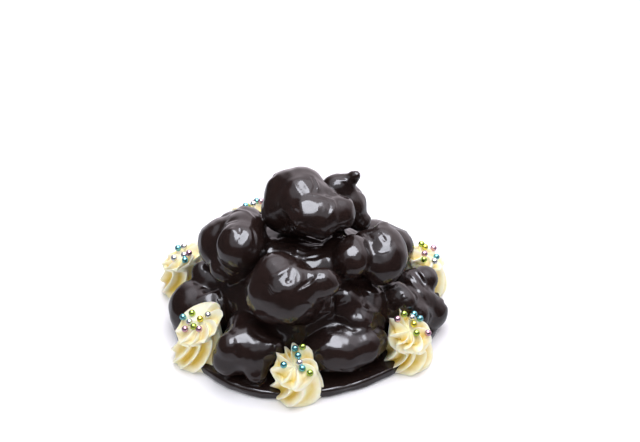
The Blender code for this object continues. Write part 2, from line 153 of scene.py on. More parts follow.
# Ridges (up) and creases (down) of the glaze, laid where these pixels of the photo meet it:
# height and width in millimetres, then the pixels
MARKS = {
    # top puff
    "top_ridge": (0.45, 1.1, ((309, 195), (320, 196), (329, 199))),
    "top_wrinkle": (-1.0, 1.0, ((312, 177), (315, 184), (313, 192))),
    "top_wrinkle_edge": (0.45, 0.8, ((315, 179), (318, 186), (318, 191))),
    "top_streak": (0.55, 0.9, ((333, 200), (335, 206), (332, 213), (327, 219))),
    "top_streak_side": (-0.4, 1.2, ((329, 201), (330, 207), (327, 213))),
    "top_fold": (0.55, 1.2, ((280, 203), (285, 210), (290, 215), (292, 223))),
    "top_fold_side": (-0.5, 1.2, ((285, 203), (290, 208), (295, 215), (296, 223))),
    "top_nick": (0.5, 0.9, ((292, 209), (297, 212))),
    "top_left_edge": (0.5, 1.0, ((264, 203), (266, 213), (271, 223))),
    "top_notch": (-0.8, 1.2, ((287, 225), (291, 231))),
    "top_hem": (0.6, 1.0, (
        (290, 230), (299, 236), (312, 239), (327, 239), (340, 235), (349, 227), (353, 217),
    )),
    "top_hem_left": (0.5, 1.0, ((263, 219), (270, 228), (279, 233))),
    # back of the top
    "tip_hollow": (-0.8, 1.3, ((352, 180), (351, 185))),
    "tip_fold": (0.4, 1.0, ((337, 180), (345, 181), (350, 186))),
    # upper left
    "left_crown": (0.55, 1.1, ((229, 216), (233, 212), (240, 210), (247, 212), (254, 218), (259, 224))),
    "left_brow": (0.5, 1.1, ((213, 250), (214, 243), (218, 235), (222, 229), (228, 224), (236, 221))),
    "left_dimple": (-0.9, 1.4, ((238, 227), (240, 231), (239, 235))),
    "left_nipple": (0.8, 2.0, ((232, 230),)),
    "left_ear": (-0.7, 1.2, ((252, 229), (255, 238), (254, 250))),
    "left_skirt": (-0.9, 1.4, ((213, 264), (222, 271), (235, 279), (244, 282))),
    "left_skirt_roll": (0.7, 2.0, ((216, 278), (224, 281), (234, 282))),
    "left_hem": (0.6, 2.4, ((236, 272), (242, 273))),
    # upper front
    "front_hem": (0.3, 1.3, (
        (244, 284), (245, 296), (250, 309), (259, 319), (273, 326), (288, 329), (300, 327),
    )),
    "front_shelf": (0.6, 1.5, ((251, 279), (262, 278), (275, 276), (282, 272), (290, 267), (297, 262))),
    "front_dimple": (-0.9, 1.5, ((288, 281),)),
    "front_dimple_rim": (0.25, 1.4, ((297, 268), (301, 275), (300, 282), (296, 286))),
    "front_squiggle": (-0.4, 0.8, ((263, 284), (266, 286), (269, 289), (271, 293), (274, 295), (281, 295))),
    "front_squiggle_edge": (0.35, 0.8, ((264, 282), (268, 285), (271, 289), (273, 292), (280, 293))),
    "front_hook": (0.6, 1.0, ((301, 305), (306, 304), (311, 306), (312, 311), (308, 318), (301, 323))),
    "front_crease": (-0.9, 1.0, ((298, 289), (304, 285), (310, 281), (314, 276))),
    "front_crease_edge": (0.5, 0.9, ((301, 290), (307, 287), (314, 282), (317, 277))),
    "front_drip": (0.6, 1.0, ((334, 299), (332, 306), (328, 311), (320, 313), (313, 321))),
    # upper right
    "crown_fold": (0.7, 1.2, ((262, 244), (272, 241), (284, 239), (298, 240), (310, 243))),
    "crown_crease": (-0.8, 1.4, ((266, 250), (278, 246), (292, 245), (306, 248), (318, 247))),
    "crown_fold_low": (0.6, 1.3, ((283, 253), (294, 250), (306, 252), (316, 250))),
    "crown_gap": (-0.7, 1.2, ((305, 259), (316, 257), (327, 253))),
    "right_hem": (0.5, 1.0, ((344, 262), (347, 272), (354, 279), (363, 279), (369, 271))),
    "right_dimple": (-0.3, 0.7, ((354, 254),)),
    "right_pit": (-0.5, 1.3, ((380, 234), (384, 239), (386, 243))),
    "right_pit_edge": (0.3, 1.3, ((386, 231), (391, 238), (390, 244))),
    "right_hair": (0.18, 0.5, ((376, 251), (381, 253), (389, 251))),
    "right_brow": (0.55, 1.1, ((346, 234), (358, 233), (366, 238), (371, 243))),
    "right_web": (0.6, 1.1, (
        (343, 280), (352, 285), (366, 290), (375, 294), (384, 292), (394, 286), (404, 278),
    )),
    # left
    "side_ridge": (0.5, 1.9, ((193, 304), (203, 297), (212, 293), (219, 296))),
    "side_bumps": (0.5, 1.8, ((219, 300), (214, 304))),
    "side_thread": (0.35, 0.9, ((223, 316), (230, 311), (238, 309))),
    # front left
    "foot_hem": (0.5, 1.0, (
        (207, 362), (214, 371), (225, 377), (236, 374), (246, 380), (257, 386), (265, 377),
    )),
    "foot_groove": (-0.9, 2.4, ((238, 341), (238, 350), (240, 360))),
    "foot_rib": (0.8, 2.2, ((253, 345), (254, 358), (256, 370))),
    "foot_crease": (-0.8, 1.2, ((252, 331), (258, 336), (264, 339), (269, 341))),
    "foot_cheek": (0.9, 2.2, ((269, 343), (275, 345))),
    "foot_streak": (0.35, 1.1, ((232, 353), (242, 361))),
    "foot_drip_left": (1.2, 3.0, ((226, 372), (228, 375))),
    "foot_drip_right": (1.2, 3.0, ((256, 378), (257, 382))),
    # front right
    "big_hem": (0.6, 1.0, ((313, 354), (321, 363), (335, 370), (351, 371), (367, 366), (379, 356))),
    "big_pit": (-0.5, 1.1, ((354, 314),)),
    "big_valley": (-0.9, 2.0, ((330, 322), (341, 322), (352, 326), (364, 326))),
    "big_crest": (0.8, 1.8, (
        (326, 330), (335, 325), (343, 328), (352, 332), (364, 331), (371, 332), (380, 343),
    )),
    "big_wave": (0.35, 2.4, ((315, 351), (328, 347), (337, 349), (345, 352), (357, 349), (366, 342))),
    "big_arc": (0.6, 1.6, ((333, 311), (340, 306), (350, 302))),
    "big_shoulder": (0.7, 1.5, ((360, 303), (368, 310), (380, 314), (386, 320))),
    "big_tick": (0.45, 1.1, ((365, 326), (372, 322))),
    # right
    "fold": (-1.0, 1.3, ((411, 271), (418, 275), (423, 283), (426, 289))),
    "fold_left": (0.4, 1.1, ((408, 273), (414, 278), (419, 286))),
    "fold_right": (0.4, 1.1, ((415, 268), (422, 273), (428, 283))),
    "notch": (-1.1, 1.4, ((432, 290), (440, 297), (446, 303))),
    "long_ridge": (0.7, 1.5, ((405, 277), (410, 281), (416, 287), (422, 293), (428, 302))),
    "knuckle_near": (0.7, 1.8, ((402, 293), (406, 300))),
    "knuckle_far": (0.7, 1.8, ((391, 290), (397, 286))),
    "knuckle_low": (0.6, 2.0, ((385, 305), (396, 298))),
    "knuckle_right": (0.5, 1.6, ((414, 310), (420, 307))),
    # disc
    "rim_thread": (0.55, 0.9, ((323, 391), (335, 390), (345, 388), (355, 386), (362, 383))),
    "rim_thread_left": (0.4, 0.9, ((220, 381), (235, 387), (245, 391), (262, 394))),
}
# Broad hollows, where the glaze lies flatter and mirrors more of the lights, given likewise
FLATS = {
    "top_left": (-0.9, 5.0, ((296, 189), (307, 184))),
    "top_front": (-0.9, 4.5, ((300, 209), (309, 207), (320, 207))),
    "left_dome": (-0.7, 4.5, ((238, 236), (247, 241))),
    "front_dome": (-0.9, 5.0, ((286, 275), (296, 277))),
    "front_lobe": (-0.4, 3.2, ((318, 274), (319, 279))),
    "right_lobe": (-0.6, 4.2, ((350, 246), (357, 254))),
    "right_dome": (-0.35, 3.2, ((377, 254), (375, 264))),
    "inner": (-0.6, 3.6, ((338, 303), (347, 306))),
    "inner_low": (-0.6, 3.6, ((350, 314), (358, 316))),
    "band": (-1.2, 5.0, ((314, 346), (328, 341), (341, 339), (354, 338), (366, 335))),
    "knuckle_near": (-0.5, 3.4, ((395, 289), (404, 295))),
    "knuckle_far": (-0.5, 3.6, ((387, 300), (392, 304))),
    "foot_left": (-0.3, 3.0, ((232, 339), (243, 340))),
    "foot_right": (-0.7, 3.2, ((270, 341), (277, 343))),
}
MARK_STEP = 1.5  # between the points that a mark is laid with
MARK_REACH = 2.6  # widths from a mark to where it has faded out
MARK_TAPER = (0.12, 0.88)  # shares of its length that its height tapers between
DROP_TURNS = 4  # steps that bring its points onto the glaze
RAY_START = 620.0  # from the camera, short of the cake
RAY_STEPS = 70
RAY_SHARE = 0.8  # of the free distance that one step takes
RAY_STEP = (-4.0, 20.0)  # the most that one step goes back and on
# More marks, drawn at random where the photo doesn't show the cake
HIDDEN_MARKS = 130
HIDDEN_SEED = 21
HIDDEN_LENGTH = (4.0, 15.0)
HIDDEN_BEND = (-1.2, 1.2)
HIDDEN_HEIGHTS = (-0.8, -0.5, 0.4, 0.6, 0.8)
HIDDEN_WIDTH = (0.9, 2.0)
HIDDEN_AWAY = 0.1  # the most that its place on a lump may face the camera
HIDDEN_LOWEST = -0.4  # and the least that it may face upwards
HIDDEN_OFF = 1.5  # how far from the glaze it may run

# The lights, in metres: place, width, depth, radiance, and whether the light is only mirrored by
# the cake or only shines on it
CAKE_MIDDLE = (0.0, 0.0, 0.04)  # what they face
LIGHTS = {
    "softbox": ((0.02, 0.00, 1.00), 1.50, 1.50, 1.9, "shines"),
    "gloss_edge": ((0.02, 0.00, 1.02), 1.90, 1.90, 1.0, "mirrored"),
    "gloss": ((0.02, 0.00, 1.00), 1.30, 1.30, 3.4, "mirrored"),
    "gloss_middle": ((0.02, 0.00, 0.98), 0.62, 0.62, 12.0, "mirrored"),
    "fill": ((0.30, -1.60, 0.90), 1.60, 1.20, 1.35, "shines"),
    "fill_left": ((-1.60, -0.60, 0.70), 1.20, 1.20, 1.0, "shines"),
}
LIGHT_COLOURS = {"shines": (0.94, 0.95, 1.0), "mirrored": (0.88, 0.91, 1.0)}
BACKDROP_COLOUR = (1.0, 0.91, 0.98)
# The backdrop, by the parts of a direction: where it fades in going back, and out to the sides
BACKDROP_BEHIND = (-0.06, 0.06)
BACKDROP_ASIDE = (0.85, 0.45)  # to either side of this:
BACKDROP_CENTRE = 0.25
BACKDROP_LEVEL = 1.35
ROOM_LEVEL = 0.06  # everywhere else
# The floor, and the part of it that the glaze mirrors, in metres from the middle to the sides
FLOOR_HALF = 3.0
FLOOR_COLOUR = (0.93, 0.93, 0.94)
SHEET_HALF = 0.20
SHEET_HEIGHT = -0.0002  # just under the floor, which hides it from the camera
SHEET_COLOUR = (0.90, 0.91, 1.0)
SHEET_LEVEL = 0.75

# The rosettes
ROSETTE_COUNT = 7
ROSETTE_RING = 75.0  # from the cake's axis to the middle of a rosette's foot
ROSETTE_FIRST = -90.3  # degrees, the one at the front
ROSETTE_SHIFTS = {  # degrees and millimetres outward that some stand off the even ring
    0: (-1.4, -0.5),
    1: (0.5, 2.5),
    2: (0.0, 1.0),
    3: (9.0, 0.0),
    5: (0.0, 2.0),
    6: (-1.5, 2.5),
}
ROSETTE_LEAN = 0.16  # outward drift of the axis for each millimetre of height
ROSETTE_TILT = 0.40  # slope of the top, down towards the outside, which grows up the rosette
ROSETTE_TOP = 24.0  # height that the slope and the leans are measured at
# Outer line of a fin from the floor up to the eye: radius, height, valley depth, turn in degrees.
# Two piped turns lie on each other, and each begins below in a lip with hardly any valleys.
ROSETTE_OUTLINE = (
    (12.0, 0.0, 0.6, -40.0),
    (14.2, 0.9, 2.0, -36.0),
    (15.4, 4.0, 4.5, -22.0),
    (14.9, 9.0, 5.4, -4.0),
    (13.4, 13.6, 4.8, 8.0),
    (12.2, 16.6, 2.8, 8.0),
    (12.8, 17.8, 1.0, -10.0),
    (13.6, 20.4, 4.6, -16.0),
    (12.8, 23.6, 6.0, -6.0),
    (9.8, 26.0, 6.0, 2.0),
    (5.0, 25.4, 4.2, 10.0),
    (0.0, 22.0, 0.0, 20.0),
)
LIP_ROW = 6  # of the upper turn, which swirls by its rosette's own share
LIP_HEIGHT = 17.8  # of the lip in these rows. Each rosette has it at its own height
CROWN_HEIGHT = 26.0  # of the outline's highest row
LIP_REACH = 2.4  # the lip hangs unevenly within this far of it
VALLEY_DEEPEST = 0.42  # share of the way from one crest to the next
VALLEY_POWER = 2.6  # how thin the crests are
CREST_POWER = 1.35  # how round they are
WIDE_FIN, WIDEST_FIN = 1.4, 2.7  # the valleys of wide fins are shallower
SHALLOWEST = 0.2  # share of the usual depth, at the second width
EYE_RADIUS = 3.0  # up to here the crests are even
FULL_RADIUS = 9.0  # and from here on as uneven as they get
FOOT_HEIGHT = 2.0  # the foot stays level, and the fins reach their own height here
UNEVEN_SEED = 40
UNEVEN = (
    (-0.8, 0.6),  # millimetres that single crests stand out or back
    (-1.8, 1.0),  # millimetres that single lips hang lower or higher
    (0.8, 1.05),  # share of the valleys' depth
    (-5.0, 5.0),  # degrees that single crests stand aside
)
FIN_SIDES = 24  # facets across one fin
FIN_RINGS = 110  # rings from the foot to the eye
# Painted shade in the rosettes' hollows: valleys this deep get all of it, and the eye gets this share
HOLLOW_SHADE_DEPTH = 5.5  # valleys this deep have the full colour of the hollows
EYE_HOLLOW_SHADE = 0.6  # share of that colour in the eye

PEARL_RADIUS = 2.0
PEARL_SUNK = 0.7
PEARL_LEVEL = 3  # of the icosphere
PEARL_CLOSER = 0.02  # nearer to the cream by this much counts as nearer
PEARL_RAY_SHARE = 0.9  # of the free distance that one step takes
PEARL_TURNS = 6  # steps that bring it to its depth in the cream
PEARL_ABOVE = 60.0  # height that the unseen pearls are let down from

# Each rosette: first crest in degrees from outward, height as a share of the usual, height of its
# lip, lean of its top outward and along the rim, how much it swirls, and the widths of its fins
ROSETTES = (
    (-27, 1.00, 18.8, (-0.5, -2.1), 0.8, (1.0, 1.65, 0.65, 1.15, 0.95, 0.6, 0.6, 1.35, 1.05)),
    (40, 1.02, 17.8, (-3.0, 0.8), 1.3, (0.95, 1.0, 1.2, 0.95, 1.4, 0.65, 0.8, 0.85, 1.2)),
    (10, 1.10, 20.5, (-3.5, 2.5), 1.3, (1.0, 0.8, 1.3, 1.0, 1.2, 0.9, 1.1, 1.0)),
    (35, 1.00, 18.5, (0.0, -1.0), 1.2, (1.1, 1.2, 0.8, 1.3, 1.0, 0.9, 1.1, 1.0)),
    (0, 1.03, 19.5, (0.5, 1.5), 1.4, (1.3, 1.0, 0.8, 1.1, 1.2, 0.9, 1.0, 1.1)),
    (25, 1.06, 21.0, (-3.0, -2.5), 1.2, (0.9, 1.2, 0.8, 1.3, 1.0, 1.2, 0.9, 1.1)),
    (16, 1.08, 21.5, (-7.1, -0.4), 0.9, (0.8, 1.0, 0.62, 1.18, 0.65, 2.7, 1.2, 0.83)),
)
# Each pearl where the photo shows it, by rosette
SEEN_PEARLS = {
    0: (
        (295, 348.5, "teal"), (302.6, 346.7, "green"), (298, 355.7, "teal"), (299.5, 362.6, "silver"),
        (283.7, 364.8, "teal"), (302.3, 368.4, "teal"), (310, 373, "green"),
    ),
    1: (
        (397.5, 319, "pink"), (404, 314, "green"), (414, 314, "teal"), (412, 317.5, "silver"),
        (420, 318, "teal"), (414, 324, "yellow"), (416.5, 333, "green"), (428, 333, "pink"),
    ),
    2: (
        (421.6, 244, "green"), (425, 247, "yellow"), (434, 247.5, "pink"), (424.6, 253.5, "pink"),
        (424, 259.5, "green"), (437, 256, "teal"), (435, 261, "silver"),
    ),
    4: (
        (256, 199, "teal"), (245, 203, "teal"), (253, 203, "silver"), (261, 201, "pink"),
    ),
    5: (
        (178, 248, "teal"), (184, 246.5, "silver"), (189, 253, "pink"), (174, 258, "silver"),
        (184, 255, "silver"), (185, 260, "teal"),
    ),
    6: (
        (183, 317, "teal"), (192, 313, "green"), (200, 319, "yellow"), (208, 315, "silver"),
        (189.5, 322, "silver"), (193, 326, "green"), (185, 329, "pink"), (199, 329, "pink"),
    ),
}
# The pearls that the photo doesn't show, as millimetres outward and along the rim from the middle
OTHER_PEARLS = {
    3: (
        (-5, -3, "teal"), (0, 4, "silver"), (-7, 5, "green"), (3, -6, "pink"),
        (6, 1, "teal"), (1, -1, "yellow"), (-2, 9, "green"),
    ),
    4: ((4, 3, "green"), (6, -3, "pink"), (0, -8, "teal")),
}
PEARL_COLOURS = {
    "teal": (0.16, 0.50, 0.55),
    "green": (0.42, 0.56, 0.08),
    "yellow": (0.75, 0.66, 0.08),
    "pink": (0.62, 0.36, 0.46),
    "silver": (0.72, 0.72, 0.74),
}
GLAZE_COLOURS = ((0.0140, 0.0078, 0.0066), (0.0195, 0.0108, 0.0090))
GLAZE_ROUGHNESS = (0.12, 0.24)
# The hollows' colour is painted shade: darker and more golden than the crests, laid on by valley depth
CREAM_COLOURS = ((0.97, 0.94, 0.72), (0.80, 0.61, 0.12))  # of the crests, and of the hollows
CREAM_SOFTNESS = (1.0, 0.72, 0.32)  # how far red, green and blue light goes in, as shares of
CREAM_DEPTH = 0.0022  # this, in metres


# Camera


def pixel_rays(pixels):
    """Directions from the camera through pixels of the photo."""
    pitch = math.radians(CAMERA_DOWN)
    ahead = np.array((0.0, math.cos(pitch), -math.sin(pitch)))
    above = np.array((0.0, math.sin(pitch), math.cos(pitch)))
    scale = LENS / SENSOR * PHOTO_WIDTH
    pixels = np.asarray(pixels, float)
    across = (pixels[:, 0:1] - PHOTO_WIDTH / 2) / scale
    down = (pixels[:, 1:2] - PHOTO_HEIGHT / 2) / scale
    rays = ahead + across * np.array((1.0, 0.0, 0.0)) - down * above
    return rays / np.linalg.norm(rays, axis=1, keepdims=True)


def add_camera():
    data = bpy.data.cameras.new("camera")
    data.lens = LENS
    data.sensor_width = SENSOR
    data.clip_start = 0.01
    data.clip_end = 20.0
    camera = bpy.data.objects.new("camera", data)
    camera.location = Vector(CAMERA_AT) * MM
    camera.rotation_euler = (math.radians(90.0 - CAMERA_DOWN), 0.0, 0.0)
    bpy.context.scene.collection.objects.link(camera)
    bpy.context.scene.camera = camera


# Distance fields of the glazed bodies: negative inside, in millimetres


def soft_minimum(distances, blend):
    """The smallest along the first axis, rounded off where two are nearly equal."""
    least = distances.min(axis=0)
    total = np.exp((least - distances) / blend).sum(axis=0)
    return least - blend * np.log(total)


def lumps_field(points, lumps):
    reach = [np.sqrt(((points - lump[:3]) ** 2).sum(axis=1)) - lump[3] for lump in lumps]
    return np.maximum(soft_minimum(np.array(reach), LUMP_BLEND), PUFF_FLOOR - points[:, 2])


def centre_field(points):
    raised = points - np.array(CENTRE_AT, points.dtype)
    raised[:, 2] /= CENTRE_SQUASH
    dome = (np.linalg.norm(raised, axis=1) - CENTRE_RADIUS) * CENTRE_SQUASH
    return np.maximum(dome, PUFF_FLOOR - points[:, 2])


def disc_field(points):
    """A flat round slab with a wavy, rounded edge."""
    angle = np.arctan2(points[:, 1], points[:, 0])
    radius = DISC_RADIUS + sum(
        height * np.sin(count * angle + math.radians(start)) for count, height, start in DISC_WAVES
    )
    beyond = np.hypot(points[:, 0], points[:, 1]) - radius + DISC_EDGE
    above = np.abs(points[:, 2] - DISC_THICKNESS / 2) - DISC_THICKNESS / 2 + DISC_EDGE
    corner = np.hypot(np.maximum(beyond, 0.0), np.maximum(above, 0.0))
    return corner + np.minimum(np.maximum(beyond, above), 0.0) - DISC_EDGE


class Mark:
    """A ridge or crease that follows a line of points on the glaze."""

    def __init__(self, points, height, width):
        self.points = points
        self.height = height
        self.width = width
        self.low = points.min(axis=0) - MARK_REACH * width
        self.high = points.max(axis=0) + MARK_REACH * width

    def meets(self, low, high):
        return bool(np.all(self.low < high) and np.all(low < self.high))

    def add_to(self, points, total):
        """Add the mark's height at the points, tapered to its ends."""
        close = np.nonzero(np.all((points > self.low) & (points < self.high), axis=1))[0]
        if len(close) == 0:
            return
        here = points[close]
        nearest = np.full(len(close), np.inf, np.float32)
        share = np.full(len(close), 0.5, np.float32)
        last = max(len(self.points) - 1, 1)
        for number in range(last):
            start = self.points[number]
            way = self.points[min(number + 1, last, len(self.points) - 1)] - start
            along = np.clip((here - start) @ way / max(way @ way, 1e-6), 0.0, 1.0)
            distance = ((here - start - along[:, None] * way) ** 2).sum(axis=1)
            closer = distance < nearest
            nearest[closer] = distance[closer]
            share[closer] = (number + along[closer]) / last
        taper = np.sin(math.pi * np.clip(share, *MARK_TAPER)) if len(self.points) > 1 else 1.0
        total[close] += self.height * taper * np.exp(-nearest / self.width**2)


class Glaze:
    """All the glazed bodies together, and which of them are near each other."""

    def __init__(self):
        self.fields = {name: self.lumpy(lumps) for name, lumps in PUFFS.items()}
        self.fields["glazed_centre"] = centre_field
        self.fields["base_disc"] = disc_field
        self.boxes = {name: self.box(name) for name in self.fields}
        self.waves = self.new_waves()
        self.marks = self.shown_marks() + self.hidden_marks()

    @staticmethod
    def lumpy(lumps):
        table = np.asarray(lumps, np.float32)
        return lambda points: lumps_field(points, table)

    @staticmethod
    def box(name):
        low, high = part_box(name)
        return np.array(low) / MM - NET_MARGIN, np.array(high) / MM + NET_MARGIN

    @staticmethod
    def new_waves():
        """Directions, lengths and heights of the slow waves."""
        draw = random.Random(RIPPLE_SEED)
        waves = []
        for height, length in RIPPLES:
            for _ in range(RIPPLE_WAVES):
                way = Vector([draw.gauss(0.0, 1.0) for _ in range(3)]).normalized()
                waves.append((height, np.array(way * (2.0 * math.pi / length), np.float32),
                              draw.uniform(0.0, 2.0 * math.pi)))
        return waves

    def shown_marks(self):
        """The marks of the photo, where its rays first meet the plain bodies."""
        marks = []
        for height, width, pixels in (*MARKS.values(), *FLATS.values()):
            points = self.seen(pixels)
            if len(points) > 1:
                length = np.linalg.norm(np.diff(points, axis=0), axis=1).sum()
                points = smooth_rows(points, max(int(length / MARK_STEP), 2))
                points = self.drop(points.astype(np.float32))
            marks.append(Mark(points, height, width))
        return marks

    def seen(self, pixels):
        """Where the rays through these pixels first meet the plain bodies, or pass closest."""
        rays = pixel_rays(pixels).astype(np.float32)
        start = np.array(CAMERA_AT, np.float32)
        gone = np.full(len(rays), RAY_START, np.float32)
        least = np.full(len(rays), np.inf, np.float32)
        best = gone.copy()
        for _ in range(RAY_STEPS):
            distance = self.plain(start + gone[:, None] * rays, list(self.fields))
            closer = distance < least
            least[closer] = distance[closer]
            best[closer] = gone[closer]
            gone += np.clip(RAY_SHARE * distance, *RAY_STEP)
        return start + best[:, None] * rays

    def drop(self, points):
        """The points moved onto the plain bodies' surface."""
        def field(where):
            return self.plain(where, list(self.fields))

        for _ in range(DROP_TURNS):
            points = points - field(points)[:, None] * slopes(field, points)
        return points

    def hidden_marks(self):
        """More marks, on the sides that the camera doesn't see."""
        draw = random.Random(HIDDEN_SEED)
        camera = Vector(CAMERA_AT).normalized()
        places = [lump for lumps in PUFFS.values() for lump in lumps]
        marks = []
        while len(marks) < HIDDEN_MARKS:
            x, y, z, radius = draw.choice(places)
            way = Vector([draw.gauss(0.0, 1.0) for _ in range(3)]).normalized()
            turn = Vector([draw.gauss(0.0, 1.0) for _ in range(3)]).normalized()
            length = draw.uniform(*HIDDEN_LENGTH)
            bend = draw.uniform(*HIDDEN_BEND)
            height = draw.choice(HIDDEN_HEIGHTS)
            width = draw.uniform(*HIDDEN_WIDTH)
            if way.dot(camera) > HIDDEN_AWAY or way.z < HIDDEN_LOWEST:
                continue
            along = way.cross(turn).normalized()
            count = max(int(length / MARK_STEP), 2)
            points = []
            for number in range(count):
                went = (number / (count - 1) - 0.5) * length / radius
                spin = way * math.cos(went) + along * math.sin(went)
                spin += way.cross(along) * (0.5 * bend * went * went)
                points.append(Vector((x, y, z)) + radius * spin.normalized())
            points = np.array(points, np.float32)
            if np.abs(self.plain(points, list(self.fields))).max() < HIDDEN_OFF:
                marks.append(Mark(self.drop(points), height, width))
        return marks

    def near(self, name):
        """The bodies whose boxes meet this one's, itself first, and the marks there."""
        low, high = self.boxes[name]
        others = [
            other for other, (start, end) in self.boxes.items()
            if other != name and np.all(start < high) and np.all(low < end)
        ]
        return [name, *others], [mark for mark in self.marks if mark.meets(low, high)]

    def plain(self, points, names):
        """The named bodies' skin without its waves and marks."""
        return soft_minimum(np.array([self.fields[name](points) for name in names]), SEAM_BLEND)

    def relief(self, points, marks):
        """Height of the waves and marks above the plain bodies."""
        total = np.zeros(len(points), np.float32)
        for height, way, start in self.waves:
            total += height / math.sqrt(RIPPLE_WAVES) * np.sin(points @ way + start)
        for mark in marks:
            mark.add_to(points, total)
        return total

    def skin(self, points, names, marks):
        """The glaze over the named bodies, flat where it stands on the table."""
        relief = self.relief(points, marks)
        return np.maximum(self.plain(points, names) - relief, -points[:, 2])

    def past(self, points, names):
        """How far points are past the seam between the first body and the others."""
        own = np.array([self.fields[name](points) for name in names])
        return own[0] - own[1:].min(axis=0) if len(names) > 1 else np.full(len(points), -1.0)

    def piece(self, points, names, marks):
        """The first body's share of the skin, which dives in under the others past its seams."""
        return self.skin(points, names, marks) + DIVE * np.maximum(self.past(points, names), 0.0)


def slopes(field, points):
    """The field's gradient at the points."""
    result = np.empty_like(points)
    for axis in range(3):
        step = np.zeros(3, points.dtype)
        step[axis] = SLOPE_STEP
        result[:, axis] = (field(points + step) - field(points - step)) / (2.0 * SLOPE_STEP)
    return result


def inside_grid(glaze, names, low, counts):
    """Whether grid points are inside the first body's share, worked out only near its surface."""
    blocks = -(-counts // NET_BLOCK)
    half = 0.5 * NET_BLOCK * NET_STEP
    reach = half * math.sqrt(3.0)
    corner = np.argwhere(np.ones(blocks, bool)) * NET_BLOCK
    middle = (low + NET_STEP * corner + half).astype(np.float32)
    skin = np.maximum(glaze.plain(middle, names), -middle[:, 2])
    past = glaze.past(middle, names)
    least = skin - reach + DIVE * np.maximum(past - 2.0 * reach, 0.0)
    most = skin + reach + DIVE * np.maximum(past + 2.0 * reach, 0.0)
    inside = np.zeros(blocks * NET_BLOCK, bool)
    view = inside.reshape(blocks[0], NET_BLOCK, blocks[1], NET_BLOCK, blocks[2], NET_BLOCK)
    for block in corner[most < 0.0] // NET_BLOCK:
        view[block[0], :, block[1], :, block[2], :] = True
    cells = np.argwhere(np.ones((NET_BLOCK,) * 3, bool))
    places = (corner[(least <= 0.0) & (most >= 0.0)][:, None] + cells[None]).reshape(-1, 3)
    for part in np.array_split(places, max(len(places) // NET_CHUNK, 1)):
        points = (low + NET_STEP * part).astype(np.float32)
        inside[tuple(part.T)] = glaze.piece(points, names, ()) < 0.0
    return inside[:counts[0], :counts[1], :counts[2]]


def surface_net(inside, low):
    """Quads between inside and outside, with a corner in each grid cell that the surface crosses."""
    ends = (slice(None, -1), slice(1, None))
    filled = sum(inside[x, y, z].astype(int) for x in ends for y in ends for z in ends)
    crossed = (filled > 0) & (filled < 8)
    number = np.full(crossed.shape, -1)
    number[crossed] = np.arange(crossed.sum())
    points = (low + NET_STEP * (np.argwhere(crossed) + 0.5)).astype(np.float32)
    quads = []
    for axis in range(3):
        order = (axis, (axis + 1) % 3, (axis + 2) % 3)
        solid = inside.transpose(order)
        cell = number.transpose(order)
        start, end = solid[:-1, 1:-1, 1:-1], solid[1:, 1:-1, 1:-1]
        around = (cell[:, :-1, :-1], cell[:, 1:, :-1], cell[:, 1:, 1:], cell[:, :-1, 1:])
        ring = np.stack(around, axis=-1)
        quads.append(ring[start & ~end])
        quads.append(ring[end & ~start][:, ::-1])
    quads = np.concatenate(quads)
    used, corners = np.unique(quads, return_inverse=True)
    return points[used], corners.reshape(quads.shape)


def settle(field, points, quads):
    """Bring a net's points onto the surface and spread them evenly over it."""
    ends = np.concatenate([quads[:, [k, (k + 1) % 4]] for k in range(4)])
    count = np.bincount(ends[:, 0], minlength=len(points))[:, None]
    for turn in range(PROJECTIONS + RELAXINGS):
        if turn >= PROJECTIONS - 1:
            mean = np.stack([
                np.bincount(ends[:, 0], weights=points[ends[:, 1], axis], minlength=len(points))
                for axis in range(3)
            ], axis=1) / count
            points = (0.5 * points + 0.5 * mean).astype(np.float32)
        slope = slopes(field, points)
        step = field(points) / np.maximum((slope**2).sum(axis=1), LEAST_SLOPE)
        points = points - np.clip(step[:, None] * slope, -NET_STEP, NET_STEP)
    return points


def glazed_piece(glaze, name, material):
    """The high-resolution skin of one body."""
    names, marks = glaze.near(name)
    low, high = glaze.boxes[name]
    counts = np.ceil((high - low) / NET_STEP).astype(int) + 1

    def field(points):
        return glaze.piece(points, names, marks)

    def skin(points):
        return glaze.skin(points, names, marks)

    points, quads = surface_net(inside_grid(glaze, names, low, counts), low)
    points = settle(field, points, quads)
    normals = slopes(skin, points)
    normals /= np.linalg.norm(normals, axis=1, keepdims=True)
    mesh = bpy.data.meshes.new(name + "_glaze")
    mesh.from_pydata((points * MM).tolist(), [], quads.tolist())
    mesh.shade_smooth()
    mesh.normals_split_custom_set_from_vertices(normals.tolist())
    mesh.materials.append(material)
    piece = bpy.data.objects.new(name + "_glaze", mesh)
    bpy.context.scene.collection.objects.link(piece)
    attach(piece, "root")
    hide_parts(name)


# Rosettes


def rosette_frame(index):
    """A rosette's foot, and its directions outward and along the rim."""
    turned, further = ROSETTE_SHIFTS.get(index, (0.0, 0.0))
    angle = math.radians(ROSETTE_FIRST + index * 360.0 / ROSETTE_COUNT + turned)
    outward = np.array((math.cos(angle), math.sin(angle), 0.0))
    along = np.array((-math.sin(angle), math.cos(angle), 0.0))
    return (ROSETTE_RING + further) * outward, outward, along


def smooth_rows(rows, count):
    """The rows of a table read off at even steps, on a smooth curve through them."""
    rows = np.asarray(rows, float)
    padded = np.concatenate([2 * rows[:1] - rows[1:2], rows, 2 * rows[-1:] - rows[-2:-1]])
    where = np.linspace(0.0, len(rows) - 1.0, count)
    cell = np.minimum(where.astype(int), len(rows) - 2)
    share = (where - cell)[:, None]
    a, b, c, d = (padded[cell + k] for k in range(4))
    return 0.5 * (
        2 * b + (c - a) * share + (2 * a - 5 * b + 4 * c - d) * share**2
        + (3 * b - a - 3 * c + d) * share**3
    )


def valley_shape(share):
    """Depth between two crests, which are narrow ridges beside a round hollow."""
    before = share / VALLEY_DEEPEST
    after = (1.0 - share) / (1.0 - VALLEY_DEEPEST)
    return 1.0 - (1.0 - np.minimum(before, after) ** CREST_POWER) ** VALLEY_POWER


